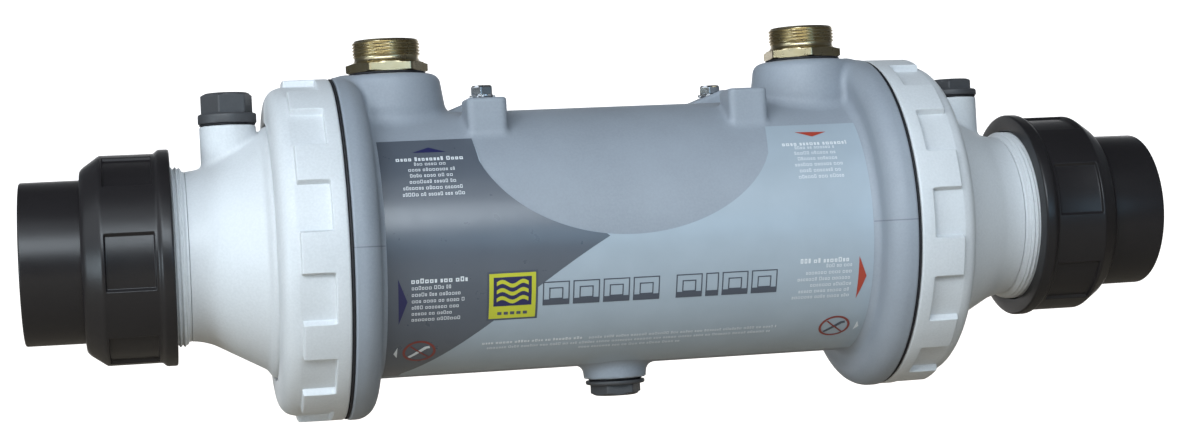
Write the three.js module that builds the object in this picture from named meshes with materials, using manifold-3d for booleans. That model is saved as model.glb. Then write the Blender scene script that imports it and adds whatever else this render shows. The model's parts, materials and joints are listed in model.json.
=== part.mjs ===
// Water-to-water pool heater: a straight shell-and-tube heat exchanger.
//
// Pool water runs along X: in through the left union, through the tubes and
// out through the right union. Boiler water fills the shell round the tubes
// and passes through the two brass adaptors on top.
//
// Millimetres, +Z up. The origin is on the main axis at the middle of the
// shell, +X points to the pool outlet and -Y is the label side. The two ends
// are the same set of pieces, the left one turned half round about Z.

import * as THREE from 'three';
import { mergeVertices } from 'three/addons/utils/BufferGeometryUtils.js';
import Module from 'manifold-3d';

const wasm = await Module();
wasm.setup();

// ---------------------------------------------------------------- dimensions

const GAP = 0.3; // clearance between neighbours that touch on the real object
const OVERRUN = 2; // how far a cutting tool reaches past the face it cuts
const EDGE = 0.8; // the bevel on the ends of turned pieces

const SIDES = { shell: 32, ring: 32, cap: 28, union: 24, boss: 16, brass: 16, plug: 12, tube: 8 };

const SHELL = { radius: 63.6, bore: 58, bodyHalf: 117 };
const FLANGE = { face: 133, radius: 82.4 };
const FLANGE_SHOULDER = [[118.8, 67.6], [120, 74.5], [123.3, 79.8], [128, 82.4]]; // [x, radius]
const SPIGOT = { end: 154, radius: 75, mouth: 70, ledge: 149 };

const WATER_BOSS = { x: 105.2, root: 40, radius: 27.2, top: 82.6, bore: 16.5, throat: 13, step: 66 };
const WATER_BOSS_SHOULDER = [[66, 27.2], [79, 25.3], [81.4, 23.6], [82.6, 20.6]]; // [height, radius]
const ADAPTOR = {
  thread: 16.1, bore: 12.8, flats: 35, hexBase: 84.2, hexTop: 88.3, cone: 18.4, neck: 90.6, top: 99.8,
  seal: 18.6,
};

const FIXING_BOSS = {
  x: 63.5, y: 28, root: 46, width: 18.4, corner: 4.5, top: 68, hole: 3.4, holeDepth: 10,
};
const FIXING_BOLT = { shank: 3, flats: 10, head: 4.5, washerRadius: 6.2, washer: 1.1, sides: 8 };

const DRAIN_BOSS = { root: -52, rootRadius: 17.2, radius: 15, end: -70.3, bore: 10.4 };
const DRAIN_PLUG = {
  shank: 10, flange: 14.6, flangeThickness: 2, flats: 22, hexHeight: 5.4, length: 12, seal: 13,
};

const GASKET = { thickness: 1, radius: 82 };
const RING_NUT = {
  start: 134.6, end: 165.8, rim: 82, rimEnd: 141.5, base: 78.5, blockEnd: 156.5,
  thread: 75.4, lip: 61.6, lipStart: 160.8, blocks: 12, blockAngle: 13.6,
};
const RING_NUT_SHOULDER = [[157, 78.5], [161.2, 77], [164.6, 73], [165.8, 69]]; // [x, radius]

const CAP = {
  face: 154.5, flangeEnd: 160.5, flange: 74.5, coneEnd: 198, neck: 40.4,
  threadStart: 206, thread: 42.8, end: 237.4,
};
const CAP_SHOULDER = [[160.5, 60], [166, 60], [168.2, 57.4], [171.5, 54.9]]; // [x, radius]
const CAP_INSIDE = [[154.5, 66], [161, 54.5], [169, 50], [196, 34.5], [202, 32.5]]; // [x, radius]
const CAP_GROOVE = { inner: 70.9, outer: 73.9, depth: 2.2 };
const VENT_BOSS = { x: 182.8, root: 40, radius: 13.35, top: 61.3, bore: 9.6 };
const VENT_PLUG = { shank: 9.2, flange: 13.85, flats: 21.8, length: 12, seal: 13.2 };
const VENT_PLUG_HEAD = {
  left: { flangeThickness: 4.8, hexHeight: 9.8 },
  right: { flangeThickness: 3.2, hexHeight: 5.2 },
};
const SEAL_THICKNESS = 0.5;
const ORING_HALF_WIDTH = 1;

const TAIL = {
  face: 237.8, collarEnd: 243.4, collar: 42.6, radius: 38.5, end: 280.3, bore: 29.5, socket: 31.6,
};
const SOCKET_DEPTH = 38;
const TAIL_GROOVE = { inner: 35.4, outer: 38.6, depth: 2.2 };
const UNION_NUT = {
  start: 211, end: 252.6, rim: 51.4, rimEnd: 216.3, body: 49.6, panelStart: 218.6, panelEnd: 243,
  nose: 43.2, thread: 43.3, lip: 39.1, lipStart: 243.8, panels: 6, panelDepth: 1.2,
};

const TUBE = { radius: 8, wall: 1, pitch: 25, end: 153.4 };
const TUBE_SHEET = { radius: 69.6, thickness: 4.4 };
const BAFFLE = { radius: 57.4, thickness: 2.5, spacing: 52.5, edge: 28 };
const TIE_ROD = { radius: 2.5, circle: 49, sides: 6 };

const LABEL = { inner: 64, outer: 64.5, left: -116.7, right: 116.7, top: 49.5, bottom: -75.5, sectors: 14 };
const LABEL_WINDOW = { x: 0, angle: 46, halfWidth: 72, halfHeight: 45.8, points: 24 };

// Turn of each piece about its own axis, in degrees.
const TURN = {
  leftRingNut: 1, rightRingNut: 16.7, leftUnionNut: -13.4, rightUnionNut: -1.5,
  ventPlug: 11, boilerInlet: 27, fixingBolt: 15,
};

// ----------------------------------------------------------------- materials

const FINISH = {
  greyShell: { color: 0x98a0aa, roughness: 0.62, metalness: 0 },
  label: { color: 0x8796a6, roughness: 0.35, metalness: 0 },
  whiteCap: { color: 0xd6e0e6, roughness: 0.48, metalness: 0 },
  darkPvc: { color: 0x37373e, roughness: 0.42, metalness: 0 },
  greyPlug: { color: 0x4b4b4e, roughness: 0.5, metalness: 0 },
  rubber: { color: 0x19161e, roughness: 0.8, metalness: 0 },
  brass: { color: 0xb89b5a, roughness: 0.3, metalness: 1 },
  chrome: { color: 0xc4c6c8, roughness: 0.22, metalness: 1 },
  steel: { color: 0xa2a5a8, roughness: 0.35, metalness: 1 },
};

// ------------------------------------------------------------- solid helpers

const radians = THREE.MathUtils.degToRad;

// The corner radius of a round hole whose flats stay clear of a given radius.
function aroundFlats(radius, sides) {
  return radius / Math.cos(Math.PI / sides);
}

// A solid of revolution about Y from [along, radius] points. The outline
// either starts and ends on the axis or closes on itself.
function turned(points, sides) {
  const outline = points.map(([along, radius]) => new THREE.Vector2(radius, along));
  if (THREE.ShapeUtils.area(outline) < 0) outline.reverse();
  if (outline[0].x > 0) outline.push(outline[0].clone());
  return new THREE.LatheGeometry(outline, sides);
}

function turnedAboutX(points, sides) {
  return turned(points, sides).rotateZ(-Math.PI / 2);
}

function turnedAboutZ(points, sides) {
  return turned(points, sides).rotateX(Math.PI / 2);
}

// A round bar about X or Z whose flats reach the radius: the tool for a bore.
function boreAboutX(from, to, radius, sides) {
  const corner = aroundFlats(radius, sides);
  return turnedAboutX([[from, 0], [from, corner], [to, corner], [to, 0]], sides);
}

function boreAboutZ(from, to, radius, sides) {
  const corner = aroundFlats(radius, sides);
  return turnedAboutZ([[from, 0], [from, corner], [to, corner], [to, 0]], sides);
}

// A prism of [x, y] points between two heights.
function prismAlongZ(points, from, to) {
  const shape = new THREE.Shape(points.map(([x, y]) => new THREE.Vector2(x, y)));
  return new THREE.ExtrudeGeometry(shape, { depth: to - from, bevelEnabled: false }).translate(0, 0, from);
}

// A prism of [y, z] points between two places along X.
function prismAlongX(points, from, to) {
  return prismAlongZ(points.map(([y, z]) => [-z, y]), from, to).rotateY(Math.PI / 2);
}

function hexagon(flats, turn = 0) {
  const corner = aroundFlats(flats / 2, 6);
  return Array.from({ length: 6 }, (_, side) => {
    const angle = radians(60 * side + turn);
    return [corner * Math.cos(angle), corner * Math.sin(angle)];
  });
}

// The [y, z] point at a radius and an angle above the front (-Y) direction.
function onRing(radius, degrees) {
  return [-radius * Math.cos(radians(degrees)), radius * Math.sin(radians(degrees))];
}

// The [y, z] outline of a ring sector between two angles.
function sector(inner, outer, fromAngle, toAngle, steps) {
  const step = (toAngle - fromAngle) / steps;
  const angles = Array.from({ length: steps + 1 }, (_, index) => fromAngle + step * index);
  const outside = angles.map((angle) => onRing(outer, angle));
  const inside = angles.reverse().map((angle) => onRing(inner, angle));
  return outside.concat(inside);
}

function solidOf(geometry) {
  geometry.deleteAttribute('normal');
  geometry.deleteAttribute('uv');
  const welded = mergeVertices(geometry);
  const corners = Array.from(welded.index.array);
  const triangles = [];
  for (let first = 0; first < corners.length; first += 3) {
    const triangle = corners.slice(first, first + 3);
    if (new Set(triangle).size === 3) triangles.push(...triangle);
  }
  return new wasm.Manifold(new wasm.Mesh({
    numProp: 3,
    vertProperties: welded.attributes.position.array,
    triVerts: new Uint32Array(triangles),
  }));
}

// The base solid with the added solids joined on and the removed ones cut out.
function built(base, added, removed) {
  let solid = solidOf(base);
  for (const piece of added) solid = solid.add(solidOf(piece));
  for (const tool of removed) solid = solid.subtract(solidOf(tool));
  const mesh = solid.getMesh();
  const geometry = new THREE.BufferGeometry();
  geometry.setAttribute('position', new THREE.BufferAttribute(new Float32Array(mesh.vertProperties), 3));
  geometry.setIndex(new THREE.BufferAttribute(new Uint32Array(mesh.triVerts), 1));
  return geometry;
}

function addPiece(parent, name, geometry, finish) {
  const mesh = new THREE.Mesh(geometry, new THREE.MeshStandardMaterial(finish));
  mesh.name = name;
  parent.add(mesh);
  return mesh;
}

// -------------------------------------------------------------- the shell

// The outside of the right half: body, rounded flange lip and threaded spigot.
const SHELL_OUTLINE = [
  [SHELL.bodyHalf, SHELL.radius],
  ...FLANGE_SHOULDER,
  [FLANGE.face, FLANGE.radius],
  [FLANGE.face, SPIGOT.radius],
  [SPIGOT.end, SPIGOT.radius],
  [SPIGOT.end, 0],
];

function waterBoss(x) {
  const { root, radius, top } = WATER_BOSS;
  const outline = [[root, 0], [root, radius], ...WATER_BOSS_SHOULDER, [top, 0]];
  return turnedAboutZ(outline, SIDES.boss).translate(x, 0, 0);
}

// A boss of square plan with chamfered corners.
function fixingBoss(x, y) {
  const half = FIXING_BOSS.width / 2;
  const flat = half - FIXING_BOSS.corner;
  const corners = [[half, flat], [flat, half], [-flat, half], [-half, flat]];
  const plan = corners.concat(corners.map(([u, v]) => [-u, -v]));
  return prismAlongZ(plan, FIXING_BOSS.root, FIXING_BOSS.top).translate(x, y, 0);
}

function drainBoss() {
  const { root, rootRadius, radius, end } = DRAIN_BOSS;
  const outline = [[root, 0], [root, rootRadius], [end + EDGE, radius], [end, radius - EDGE], [end, 0]];
  return turnedAboutZ(outline, SIDES.boss);
}

function shellGeometry() {
  const mirrored = SHELL_OUTLINE.map(([x, radius]) => [-x, radius]).reverse();
  const body = turnedAboutX(mirrored.concat(SHELL_OUTLINE), SIDES.shell);
  const added = [drainBoss()];
  const removed = [
    boreAboutX(-SPIGOT.end - OVERRUN, SPIGOT.end + OVERRUN, SHELL.bore, SIDES.shell),
    boreAboutX(SPIGOT.ledge, SPIGOT.end + OVERRUN, SPIGOT.mouth, SIDES.shell),
    boreAboutX(-SPIGOT.end - OVERRUN, -SPIGOT.ledge, SPIGOT.mouth, SIDES.shell),
    boreAboutZ(DRAIN_BOSS.end - OVERRUN, DRAIN_BOSS.root, DRAIN_BOSS.bore, SIDES.plug),
  ];
  const { root, step, top, bore, throat } = WATER_BOSS;
  const holeFloor = FIXING_BOSS.top - FIXING_BOSS.holeDepth;
  for (const side of [-1, 1]) {
    const x = side * WATER_BOSS.x;
    added.push(waterBoss(x));
    removed.push(boreAboutZ(step, top + OVERRUN, bore, SIDES.brass).translate(x, 0, 0));
    removed.push(boreAboutZ(root - OVERRUN, step + OVERRUN, throat, SIDES.brass).translate(x, 0, 0));
    for (const row of [-1, 1]) added.push(fixingBoss(side * FIXING_BOSS.x, row * FIXING_BOSS.y));
    const hole = boreAboutZ(holeFloor, FIXING_BOSS.top + OVERRUN, FIXING_BOSS.hole, FIXING_BOLT.sides);
    removed.push(hole.translate(side * FIXING_BOSS.x, side * FIXING_BOSS.y, 0));
  }
  return built(body, added, removed);
}

// A thin printed skin round the front of the body, with an oval window.
function labelGeometry() {
  const { inner, outer, left, right, top, bottom, sectors } = LABEL;
  const skin = prismAlongX(sector(inner, outer, bottom, top, sectors), left, right);
  const { x, angle, halfWidth, halfHeight, points } = LABEL_WINDOW;
  const oval = Array.from({ length: points }, (_, point) => {
    const turn = (2 * Math.PI * point) / points;
    return [x + halfWidth * Math.cos(turn), halfHeight * Math.sin(turn)];
  });
  const window = prismAlongZ(oval, inner / 4, outer + OVERRUN).rotateX(radians(90 - angle));
  return built(skin, [], [window]);
}

// ---------------------------------------------------- fittings on the shell

function adaptorGeometry(turn) {
  const { thread, bore, flats, hexBase, hexTop, cone, neck, top } = ADAPTOR;
  const foot = WATER_BOSS.step + GAP;
  const barrel = turnedAboutZ([
    [foot, 0], [foot, thread], [hexBase, thread], [hexTop, cone], [neck, thread],
    [top - EDGE, thread], [top, thread - EDGE], [top, 0],
  ], SIDES.brass);
  const hex = prismAlongZ(hexagon(flats, turn), hexBase, hexTop);
  return built(barrel, [hex], [boreAboutZ(foot - OVERRUN, top + OVERRUN, bore, SIDES.brass)]);
}

// A flat ring lying between two heights.
function washerGeometry(inner, outer, from, to, sides) {
  const hole = aroundFlats(inner, sides);
  return turnedAboutZ([[from, hole], [from, outer], [to, outer], [to, hole]], sides);
}

function adaptorSealGeometry() {
  const { thread, seal, hexBase } = ADAPTOR;
  return washerGeometry(thread + GAP, seal, WATER_BOSS.top + GAP, hexBase - GAP, SIDES.brass);
}

// A plug that points up: shank from its flange face down, flange and hexagon up.
function plugGeometry({ shank, flange, flangeThickness, flats, hexHeight, length }, turn) {
  const hexBase = flangeThickness;
  const body = turnedAboutZ([
    [-length, 0], [-length, shank - EDGE], [EDGE - length, shank], [0, shank], [0, flange - EDGE / 2],
    [EDGE, flange], [hexBase - EDGE, flange], [hexBase, flange - EDGE], [hexBase, 0],
  ], SIDES.plug);
  const hex = prismAlongZ(hexagon(flats, turn), hexBase - EDGE, hexBase + hexHeight);
  return built(body, [hex], []);
}

function plugSealGeometry({ shank, seal }) {
  return washerGeometry(shank + GAP, seal, 0, SEAL_THICKNESS, SIDES.plug);
}

function boltGeometry() {
  const { shank, flats, head, sides } = FIXING_BOLT;
  const tip = GAP - FIXING_BOSS.holeDepth;
  const seat = FIXING_BOLT.washer + 2 * GAP;
  const stem = turnedAboutZ([[tip, 0], [tip, shank], [seat + EDGE, shank], [seat + EDGE, 0]], sides);
  return built(stem, [prismAlongZ(hexagon(flats, TURN.fixingBolt), seat, seat + head)], []);
}

// --------------------------------------------------------- pieces of one end

// The cap: flange, cone, vent boss and threaded neck, hollow all through.
function capGeometry() {
  const { face, flangeEnd, flange, coneEnd, neck, threadStart, thread, end } = CAP;
  const outside = turnedAboutX([
    [face, 0], [face, flange], [flangeEnd, flange], ...CAP_SHOULDER,
    [coneEnd, neck], [threadStart, neck], [threadStart, thread], [end, thread], [end, 0],
  ], SIDES.cap);
  const mouth = CAP_INSIDE[0][1];
  const bore = CAP_INSIDE[CAP_INSIDE.length - 1][1];
  const inside = turnedAboutX([
    [face - OVERRUN, 0], [face - OVERRUN, mouth], ...CAP_INSIDE, [end + OVERRUN, bore], [end + OVERRUN, 0],
  ], SIDES.cap);
  const groove = turnedAboutX([
    [face - OVERRUN, CAP_GROOVE.inner], [face - OVERRUN, CAP_GROOVE.outer],
    [face + CAP_GROOVE.depth, CAP_GROOVE.outer], [face + CAP_GROOVE.depth, CAP_GROOVE.inner],
  ], SIDES.cap);
  const { x, root, radius, top } = VENT_BOSS;
  const boss = turnedAboutZ([[root, 0], [root, radius], [top, radius], [top, 0]], SIDES.boss);
  const ventBore = boreAboutZ(root - OVERRUN, top + OVERRUN, VENT_BOSS.bore, SIDES.plug);
  return built(outside, [boss.translate(x, 0, 0)], [inside, groove, ventBore.translate(x, 0, 0)]);
}

// A square-section sealing ring in a face groove, proud of the face it seals.
function sealingRing(face, groove, sides) {
  const middle = (groove.inner + groove.outer) / 2;
  const from = face - GAP / 3;
  const to = face + groove.depth - GAP;
  const inner = middle - ORING_HALF_WIDTH;
  const outer = middle + ORING_HALF_WIDTH;
  return turnedAboutX([[from, inner], [from, outer], [to, outer], [to, inner]], sides);
}

function gasketGeometry() {
  const from = FLANGE.face + GAP;
  const to = from + GASKET.thickness;
  const inner = aroundFlats(RING_NUT.thread, SIDES.ring);
  return turnedAboutX([[from, inner], [from, GASKET.radius], [to, GASKET.radius], [to, inner]], SIDES.ring);
}

// The ring nut: a threaded ring that hooks over the cap flange, with a
// smooth rim next to the shell and grip blocks round its outside.
function ringNutGeometry(turn) {
  const { start, end, rim, rimEnd, base, blockEnd, thread, lip, lipStart, blocks, blockAngle } = RING_NUT;
  const threadCorner = aroundFlats(thread, SIDES.ring);
  const lipCorner = aroundFlats(lip, SIDES.ring);
  const ring = turnedAboutX([
    [start, rim - EDGE], [start + EDGE, rim], [rimEnd, rim], [rimEnd, base], ...RING_NUT_SHOULDER,
    [end, lipCorner], [lipStart, lipCorner], [lipStart, threadCorner], [start, threadCorner],
  ], SIDES.ring);
  const grips = [];
  for (let block = 0; block < blocks; block += 1) {
    const middle = turn + (360 / blocks) * block;
    const outline = sector(base - EDGE, rim, middle - blockAngle / 2, middle + blockAngle / 2, 2);
    grips.push(prismAlongX(outline, rimEnd - EDGE, blockEnd));
  }
  return built(ring, grips, []);
}

function tailGeometry() {
  const { face, collarEnd, collar, radius, end, bore, socket } = TAIL;
  const step = end - SOCKET_DEPTH;
  return turnedAboutX([
    [face, TAIL_GROOVE.outer], [face, collar], [collarEnd, collar], [collarEnd, radius], [end - EDGE, radius],
    [end, radius - EDGE], [end, socket], [step, socket], [step, bore], [face, bore],
    [face, TAIL_GROOVE.inner], [face + TAIL_GROOVE.depth, TAIL_GROOVE.inner],
    [face + TAIL_GROOVE.depth, TAIL_GROOVE.outer],
  ], SIDES.union);
}

// The union nut: a rim next to the neck, a grip zone whose panels are
// sunk by turns, and a nose that closes behind the collar of the tail.
function unionNutGeometry(turn) {
  const { start, end, rim, rimEnd, body, panelStart, panelEnd, nose, thread, lip, lipStart } = UNION_NUT;
  const threadCorner = aroundFlats(thread, SIDES.union);
  const lipCorner = aroundFlats(lip, SIDES.union);
  const nut = turnedAboutX([
    [start, rim], [rimEnd, rim], [panelStart - EDGE, body], [panelEnd, body],
    [end - EDGE, nose], [end, nose - EDGE], [end, lipCorner],
    [lipStart, lipCorner], [lipStart, threadCorner], [start, threadCorner],
  ], SIDES.union);
  const { panels, panelDepth } = UNION_NUT;
  const pockets = [];
  for (let panel = 0; panel < panels; panel += 1) {
    const from = turn + (360 / panels) * panel;
    const outline = sector(body - panelDepth, body + OVERRUN, from, from + 180 / panels, 2);
    pockets.push(prismAlongX(outline, panelStart, panelEnd - EDGE));
  }
  return built(nut, [], pockets);
}

// ----------------------------------------------------------- the tube bundle

// Centres [y, z] of the tubes: one in the middle and two rings of six.
function tubeCentres() {
  const centres = [[0, 0]];
  for (let spoke = 0; spoke < 6; spoke += 1) {
    centres.push(onRing(TUBE.pitch, 60 * spoke + 30));
    centres.push(onRing(TUBE.pitch * Math.sqrt(3), 60 * spoke));
  }
  return centres;
}

function rodCentres() {
  return [90, 210, 330].map((angle) => onRing(TIE_ROD.circle, angle));
}

function tubeHoles(from, to) {
  const clear = TUBE.radius + GAP;
  return tubeCentres().map(([y, z]) => boreAboutX(from, to, clear, SIDES.tube).translate(0, y, z));
}

function tubeGeometry() {
  const inner = TUBE.radius - TUBE.wall;
  const outline = [[-TUBE.end, inner], [-TUBE.end, TUBE.radius], [TUBE.end, TUBE.radius], [TUBE.end, inner]];
  return turnedAboutX(outline, SIDES.tube);
}

function tubeSheetGeometry() {
  const from = SPIGOT.ledge + GAP;
  const to = from + TUBE_SHEET.thickness;
  const { radius } = TUBE_SHEET;
  const disc = turnedAboutX([[from, 0], [from, radius], [to, radius], [to, 0]], SIDES.cap);
  return built(disc, [], tubeHoles(from - OVERRUN, to + OVERRUN));
}

// A round plate with one side cut off square, so the water winds past it.
function baffleGeometry(openSide) {
  const { radius } = BAFFLE;
  const half = BAFFLE.thickness / 2;
  const disc = turnedAboutX([[-half, 0], [-half, radius], [half, radius], [half, 0]], SIDES.cap);
  const side = radius + OVERRUN;
  const edge = openSide * BAFFLE.edge;
  const past = openSide * side;
  const cut = prismAlongX([[-side, edge], [side, edge], [side, past], [-side, past]], -OVERRUN, OVERRUN);
  const clear = TIE_ROD.radius + GAP;
  const rodHoles = rodCentres().map(([y, z]) => (
    boreAboutX(-OVERRUN, OVERRUN, clear, TIE_ROD.sides).translate(0, y, z)
  ));
  return built(disc, [], [cut, ...tubeHoles(-OVERRUN, OVERRUN), ...rodHoles]);
}

function tieRodGeometry() {
  const end = SPIGOT.ledge;
  return turnedAboutX([[-end, 0], [-end, TIE_ROD.radius], [end, TIE_ROD.radius], [end, 0]], TIE_ROD.sides);
}

// ------------------------------------------------------------- the assembly

const poolHeater = new THREE.Group();

addPiece(poolHeater, 'shell_body', shellGeometry(), FINISH.greyShell);
addPiece(poolHeater, 'front_label', labelGeometry(), FINISH.label);

for (const [name, side, turn] of [['boiler_outlet', -1, 0], ['boiler_inlet', 1, TURN.boilerInlet]]) {
  const fitting = new THREE.Group();
  fitting.position.x = side * WATER_BOSS.x;
  poolHeater.add(fitting);
  addPiece(fitting, `${name}_adaptor`, adaptorGeometry(turn), FINISH.brass);
  addPiece(fitting, `${name}_seal`, adaptorSealGeometry(), FINISH.rubber);
}

for (const [name, side] of [['front', -1], ['rear', 1]]) {
  const fixing = new THREE.Group();
  fixing.position.set(side * FIXING_BOSS.x, side * FIXING_BOSS.y, FIXING_BOSS.top);
  poolHeater.add(fixing);
  const { shank, washer, washerRadius } = FIXING_BOLT;
  const lockWasher = washerGeometry(shank + GAP, washerRadius, GAP, GAP + washer, SIDES.plug);
  addPiece(fixing, `fixing_bolt_${name}`, boltGeometry(), FINISH.chrome);
  addPiece(fixing, `lock_washer_${name}`, lockWasher, FINISH.steel);
}

const drain = new THREE.Group();
drain.position.z = DRAIN_BOSS.end - GAP;
drain.rotation.x = Math.PI;
poolHeater.add(drain);
const drainPlug = addPiece(drain, 'drain_plug', plugGeometry(DRAIN_PLUG, 0), FINISH.greyPlug);
drainPlug.position.z = SEAL_THICKNESS + GAP;
addPiece(drain, 'drain_seal', plugSealGeometry(DRAIN_PLUG), FINISH.rubber);

for (const [side, turnAboutZ] of [['left', Math.PI], ['right', 0]]) {
  const end = new THREE.Group();
  end.rotation.z = turnAboutZ;
  poolHeater.add(end);
  addPiece(end, `${side}_flange_gasket`, gasketGeometry(), FINISH.rubber);
  addPiece(end, `${side}_tube_sheet`, tubeSheetGeometry(), FINISH.steel);
  addPiece(end, `${side}_end_cap`, capGeometry(), FINISH.whiteCap);
  addPiece(end, `${side}_cap_oring`, sealingRing(CAP.face, CAP_GROOVE, SIDES.cap), FINISH.rubber);
  addPiece(end, `${side}_ring_nut`, ringNutGeometry(TURN[`${side}RingNut`]), FINISH.whiteCap);
  addPiece(end, `${side}_union_tail`, tailGeometry(), FINISH.darkPvc);
  addPiece(end, `${side}_union_oring`, sealingRing(TAIL.face, TAIL_GROOVE, SIDES.union), FINISH.rubber);
  addPiece(end, `${side}_union_nut`, unionNutGeometry(TURN[`${side}UnionNut`]), FINISH.darkPvc);

  const vent = new THREE.Group();
  vent.position.set(VENT_BOSS.x, 0, VENT_BOSS.top + GAP);
  end.add(vent);
  const plug = plugGeometry({ ...VENT_PLUG, ...VENT_PLUG_HEAD[side] }, TURN.ventPlug);
  addPiece(vent, `${side}_vent_plug`, plug, FINISH.greyPlug).position.z = SEAL_THICKNESS + GAP;
  addPiece(vent, `${side}_vent_seal`, plugSealGeometry(VENT_PLUG), FINISH.rubber);
}

[-1, 0, 1].forEach((place, index) => {
  const openSide = index % 2 === 0 ? 1 : -1;
  const baffle = addPiece(poolHeater, `baffle_${index + 1}`, baffleGeometry(openSide), FINISH.steel);
  baffle.position.x = place * BAFFLE.spacing;
});

tubeCentres().forEach(([y, z], index) => {
  const tube = addPiece(poolHeater, `tube_${index + 1}`, tubeGeometry(), FINISH.steel);
  tube.position.set(0, y, z);
});

rodCentres().forEach(([y, z], index) => {
  const rod = addPiece(poolHeater, `tie_rod_${index + 1}`, tieRodGeometry(), FINISH.steel);
  rod.position.set(0, y, z);
});

export default poolHeater;
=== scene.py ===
"""Looks of a water-to-water pool heater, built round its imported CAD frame.

The heater is a horizontal shell-and-tube exchanger: a grey moulded shell with
two brass adaptors on top, a white cap, ring nut and pipe union at each end,
and a printed label round the front. Lengths are in millimetres until a mesh
is made. Angles about the main axis start at the front (-Y) and rise to the top.
"""

import json
import math
import random
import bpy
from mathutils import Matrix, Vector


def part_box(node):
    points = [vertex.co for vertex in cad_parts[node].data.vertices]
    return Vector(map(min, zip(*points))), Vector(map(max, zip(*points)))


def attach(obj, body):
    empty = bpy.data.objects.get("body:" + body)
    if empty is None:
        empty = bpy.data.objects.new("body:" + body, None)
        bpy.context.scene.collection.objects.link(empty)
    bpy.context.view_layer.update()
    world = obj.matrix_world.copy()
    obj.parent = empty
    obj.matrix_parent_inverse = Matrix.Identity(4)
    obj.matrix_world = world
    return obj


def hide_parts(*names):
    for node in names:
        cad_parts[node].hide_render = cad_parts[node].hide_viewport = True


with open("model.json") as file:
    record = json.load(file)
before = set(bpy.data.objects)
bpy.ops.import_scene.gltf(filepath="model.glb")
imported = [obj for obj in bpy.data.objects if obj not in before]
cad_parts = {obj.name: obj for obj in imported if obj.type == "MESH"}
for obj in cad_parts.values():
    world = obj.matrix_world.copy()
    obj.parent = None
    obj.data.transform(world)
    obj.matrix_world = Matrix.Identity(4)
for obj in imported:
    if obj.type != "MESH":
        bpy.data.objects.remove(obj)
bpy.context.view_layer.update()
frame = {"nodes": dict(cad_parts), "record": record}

from types import SimpleNamespace as Sizes

import bmesh
import bpy
import numpy as np
from mathutils import Matrix, Vector

MM = 0.001
SIDES = {"left": -1, "right": 1}

RECORD = frame["record"]
BODIES = RECORD["behaviour"]["bodies"]
BODY_OF = {node: body for body, nodes in BODIES.items() for node in nodes}
SLOT_OF = {part["node"]: part["material_slot"] for part in RECORD["subparts"]}


def span(cad_node, axis=0):
    """How far a CAD node reaches along an axis, in millimetres, nearest first."""
    low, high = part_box(cad_node)
    return sorted((low[axis] / MM, high[axis] / MM), key=abs)


def outward(cad_node):
    """The same along the main axis, as distances out from the middle."""
    return sorted(abs(value) for value in span(cad_node))


def middle(cad_node, axis):
    return sum(span(cad_node, axis)) / 2


# ---- materials


def give(tree, socket, value):
    """Links an input to another node's socket, or sets it to a number or colour."""
    if isinstance(value, bpy.types.NodeSocket):
        tree.links.new(value, socket)
    else:
        socket.default_value = value


def feed(tree, made, **inputs):
    """Gives a node its inputs by name."""
    for name, value in inputs.items():
        give(tree, made.inputs[name.replace("_", " ")], value)
    return made


def node(tree, kind, settings=None, **inputs):
    made = tree.nodes.new(kind)
    for name, value in (settings or {}).items():
        setattr(made, name, value)
    return feed(tree, made, **inputs)


def maths(tree, operation, *values):
    made = node(tree, "ShaderNodeMath", {"operation": operation})
    for socket, value in zip(made.inputs, values):
        give(tree, socket, value)
    return made.outputs[0]


def new_material(name):
    material = bpy.data.materials.new(name)
    material.use_nodes = True
    tree = material.node_tree
    return material, tree, tree.nodes["Principled BSDF"]


def at_rest(tree):
    """Where a point is on the piece, in metres, at rest."""
    return node(tree, "ShaderNodeTexCoord").outputs["Object"]


def noise(tree, scale, detail=3.0):
    place = at_rest(tree)
    kind = "ShaderNodeTexNoise"
    return node(tree, kind, Vector=place, Scale=scale, Detail=detail, Roughness=0.55).outputs["Fac"]


def spread(tree, value, low, high, start=0.3, end=0.7):
    """Maps a noise value to a range."""
    made = node(tree, "ShaderNodeMapRange", Value=value)
    for name, number in zip(("From Min", "From Max", "To Min", "To Max"), (start, end, low, high)):
        made.inputs[name].default_value = number
    return made.outputs["Result"]


def blend(tree, factor, first, second):
    """Mixes two colours. The colour sockets of a mix node come after its plain ones."""
    made = node(tree, "ShaderNodeMix", {"data_type": "RGBA"})
    for index, value in ((0, factor), (6, first), (7, second)):
        give(tree, made.inputs[index], value)
    return made.outputs[2]


def shade(colour, factor):
    return tuple(min(1.0, channel * factor) for channel in colour) + (1.0,)


def bumps(tree, shader, layers):
    """Stacks bump layers of (height socket, depth in metres, strength)."""
    target = shader
    for height, depth, strength in reversed(layers):
        bump = node(tree, "ShaderNodeBump", Height=height, Distance=depth, Strength=strength)
        feed(tree, target, Normal=bump.outputs["Normal"])
        target = bump


def moulded(name, colour, roughness, grain=0.35, mottle=0.06, patchy=0.05, gloss=0.5):
    """Moulded plastic: faint clouding, a fine spark-eroded grain and soft waves."""
    material, tree, shader = new_material(name)
    clouds = spread(tree, noise(tree, 22.0), 0.0, 1.0)
    specks = spread(tree, noise(tree, 900.0, detail=2.0), 0.0, 1.0, 0.35, 0.65)
    tone = blend(tree, clouds, shade(colour, 1 - mottle), shade(colour, 1 + mottle))
    dark = blend(tree, clouds, shade(colour, 0.93 - mottle), shade(colour, 0.96 + mottle))
    feed(tree, shader, Base_Color=blend(tree, specks, dark, tone), Specular_IOR_Level=gloss)
    feed(tree, shader, Roughness=spread(tree, noise(tree, 70.0), roughness - patchy, roughness + patchy))
    grains = noise(tree, 2400.0, detail=2.0)
    waves = noise(tree, 120.0, detail=1.0)
    bumps(tree, shader, [(waves, 0.0004, 0.12), (grains, 0.00012, grain)])
    return material


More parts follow.
